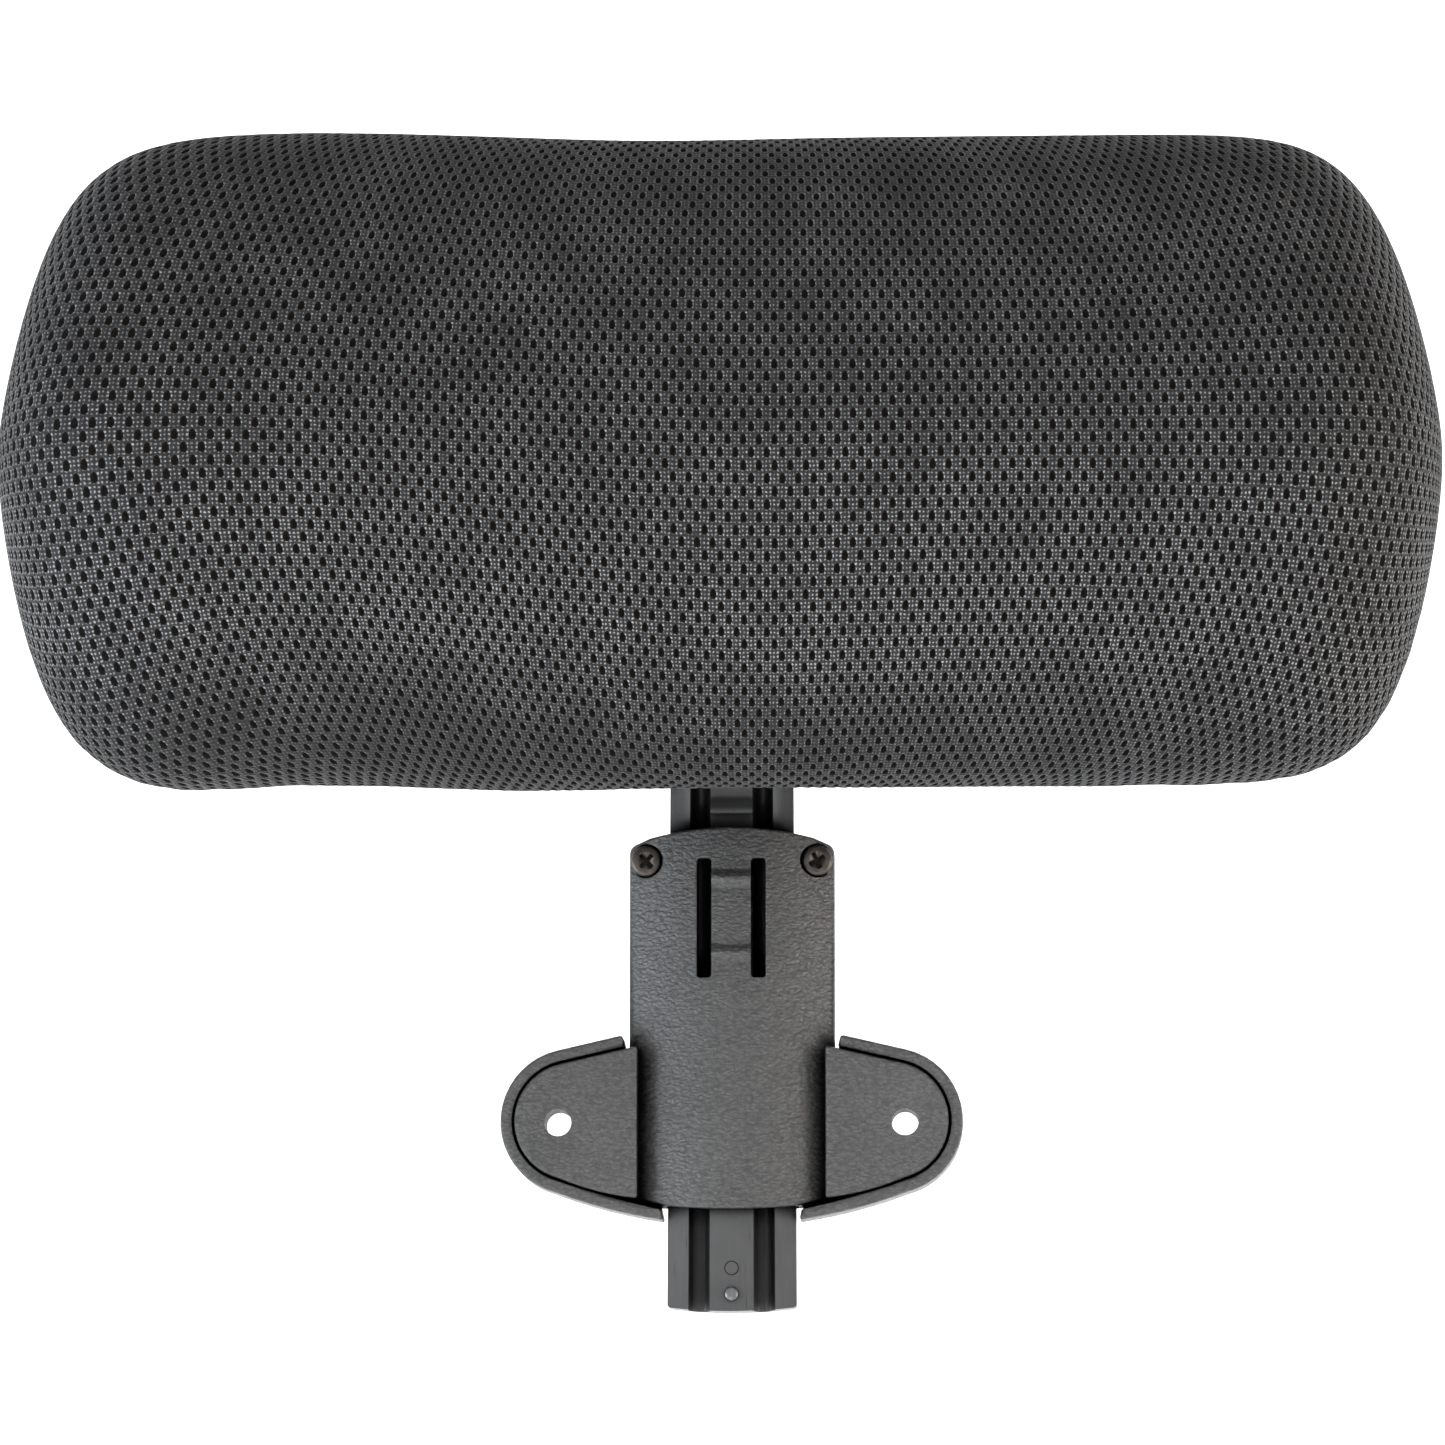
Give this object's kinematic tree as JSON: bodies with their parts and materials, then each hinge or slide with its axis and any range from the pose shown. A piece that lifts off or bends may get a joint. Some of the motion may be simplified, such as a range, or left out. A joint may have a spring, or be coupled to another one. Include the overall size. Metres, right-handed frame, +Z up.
{
  "type": "chair headrest attachment",
  "caption": "Padded headrest on a post that slides in a bracket with wing pads for screwing to a chair back; the pad tilts on a friction hinge.",
  "frame": {"origin": "midway between the two mounting holes, on the front plane of the mounting pads", "axes": "+Z up along the post, -Y towards the sitter's head and square to the mounting pads, +X to the right seen from the sitter's side"},
  "size_m": [0.328, 0.1023, 0.2663],
  "materials": {
    "housing_plastic": "moulded ABS with a fine leather-like grain",
    "post_plastic": "smooth moulded ABS, slightly satin",
    "pin_plastic": "glossy moulded pin",
    "black_steel": "black oxide on steel",
    "zinc_steel": "bright zinc plate",
    "nylon": "natural nylon",
    "cap_plastic": "fine satin moulding",
    "shell_plastic": "fine spark-eroded texture",
    "plywood": "thin birch plywood",
    "foam": "open-cell cushion foam",
    "spacer_mesh": "knitted spacer mesh with small oval holes in staggered rows"
  },
  "bodies": {
    "bracket": {"front_housing": "housing_plastic", "rear_housing": "housing_plastic", "housing_screw_left": "black_steel", "housing_screw_right": "black_steel"},
    "post": {"slide_post": "post_plastic", "stop_pin": "pin_plastic"},
    "headrest": {"hinge_yoke": "black_steel", "pivot_bolt": "zinc_steel", "pivot_nut": "zinc_steel", "spring_washer": "zinc_steel", "friction_washer_left": "nylon", "friction_washer_right": "nylon", "bolt_cap": "cap_plastic", "nut_cap": "cap_plastic", "rear_shell": "shell_plastic", "core_board": "plywood", "foam_pad": "foam", "mesh_cover": "spacer_mesh", "yoke_screw_1": "zinc_steel", "tee_nut_1": "zinc_steel", "shell_screw_1": "black_steel", "yoke_screw_2": "zinc_steel", "tee_nut_2": "zinc_steel", "shell_screw_2": "black_steel", "yoke_screw_3": "zinc_steel", "tee_nut_3": "zinc_steel", "shell_screw_3": "black_steel", "yoke_screw_4": "zinc_steel", "tee_nut_4": "zinc_steel", "shell_screw_4": "black_steel"}
  },
  "joints": [
    {"name": "height_slide", "type": "slide", "parent": "bracket", "child": "post", "axis": [0, 0, 1], "range_m": [-0.015, 0.045]},
    {"name": "tilt_hinge", "type": "hinge", "parent": "post", "child": "headrest", "pos_m": [0, 0.007, 0.147], "axis": [1, 0, 0], "range_deg": [-25, 15]}
  ]
}
